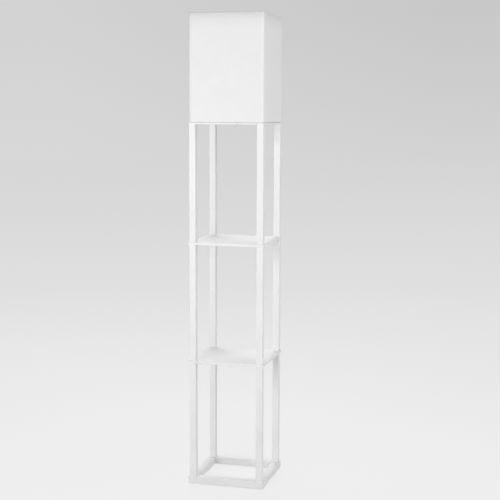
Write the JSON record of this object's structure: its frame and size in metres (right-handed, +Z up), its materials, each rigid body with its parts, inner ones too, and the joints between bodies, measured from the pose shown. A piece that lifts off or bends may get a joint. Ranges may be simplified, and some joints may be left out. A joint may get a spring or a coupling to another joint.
{
  "type": "shelf floor lamp",
  "caption": "Tall square floor lamp: white wooden posts carry open shelves and a square white fabric shade over a pull-chain lamp holder.",
  "frame": {"origin": "on the floor under the middle of the square base", "axes": "+Z up, -Y towards the front, +X to the viewer's right when facing the front"},
  "size_m": [0.264, 0.264, 1.6],
  "materials": {
    "painted_wood": "white satin lacquer on fibreboard",
    "dowel_wood": "plain fluted beech",
    "zinc_steel": "bright zinc plate",
    "brass": "plain brass",
    "nickel_plate": "satin nickel plate",
    "phenolic": "black moulded phenolic",
    "fibre_sleeve": "vulcanised fibre",
    "white_plastic": "moulded, semi-gloss",
    "bulb_insulator": "black glassy insulator",
    "cap_metal": "rolled thread cap",
    "opal_glass": "opal, frosted",
    "foot_rubber": "grey, matt",
    "shade_fabric": "white plain weave, bonded to a stiff sheet",
    "shade_sheet": "white translucent sheet"
  },
  "bodies": {
    "frame": {"base_rail_front": "painted_wood", "base_rail_back": "painted_wood", "base_rail_left": "painted_wood", "base_rail_right": "painted_wood", "lower_shelf": "painted_wood", "upper_shelf": "painted_wood", "top_rail_front": "painted_wood", "top_rail_back": "painted_wood", "top_rail_left": "painted_wood", "top_rail_right": "painted_wood", "crossbar": "painted_wood", "lower_post_front_left": "painted_wood", "lower_post_front_right": "painted_wood", "lower_post_back_left": "painted_wood", "lower_post_back_right": "painted_wood", "middle_post_front_left": "painted_wood", "middle_post_front_right": "painted_wood", "middle_post_back_left": "painted_wood", "middle_post_back_right": "painted_wood", "upper_post_front_left": "painted_wood", "upper_post_front_right": "painted_wood", "upper_post_back_left": "painted_wood", "upper_post_back_right": "painted_wood", "base_dowels": "dowel_wood", "top_rail_dowels": "dowel_wood", "crossbar_dowels": "dowel_wood", "base_bolts": "zinc_steel", "lower_studs": "zinc_steel", "upper_studs": "zinc_steel", "holder_nut": "zinc_steel", "holder_washers": "zinc_steel", "holder_nipple": "zinc_steel", "terminal_screws": "zinc_steel", "lower_inserts": "brass", "middle_inserts": "brass", "upper_inserts": "brass", "screw_shell": "brass", "centre_contact": "brass", "holder_cap": "nickel_plate", "holder_shell": "nickel_plate", "chain_outlet": "nickel_plate", "switch_body": "phenolic", "insulating_sleeve": "fibre_sleeve", "cord_bushing": "white_plastic", "foot_pads": "foot_rubber"},
    "shade": {"shade_cover": "shade_fabric", "shade_liner": "shade_sheet", "shade_top_wire": "zinc_steel", "shade_bottom_wire": "zinc_steel"},
    "bulb": {"bulb_contact": "brass", "bulb_insulator": "bulb_insulator", "bulb_cap": "cap_metal", "bulb_body": "white_plastic", "bulb_globe": "opal_glass"},
    "pull": {"pull_chain": "nickel_plate", "pull_knob": "white_plastic"}
  },
  "joints": [
    {"name": "shade_lift", "type": "slide", "parent": "frame", "child": "shade", "axis": [0, 0, 1], "range_m": [0, 0.17]},
    {"name": "bulb_lift", "type": "slide", "parent": "frame", "child": "bulb", "axis": [0, 0, 1], "range_m": [0, 0.03]},
    {"name": "pull_switch", "type": "slide", "parent": "frame", "child": "pull", "axis": [0, 0, -1], "range_m": [0, 0.008], "stiffness_N_per_m": 600}
  ]
}
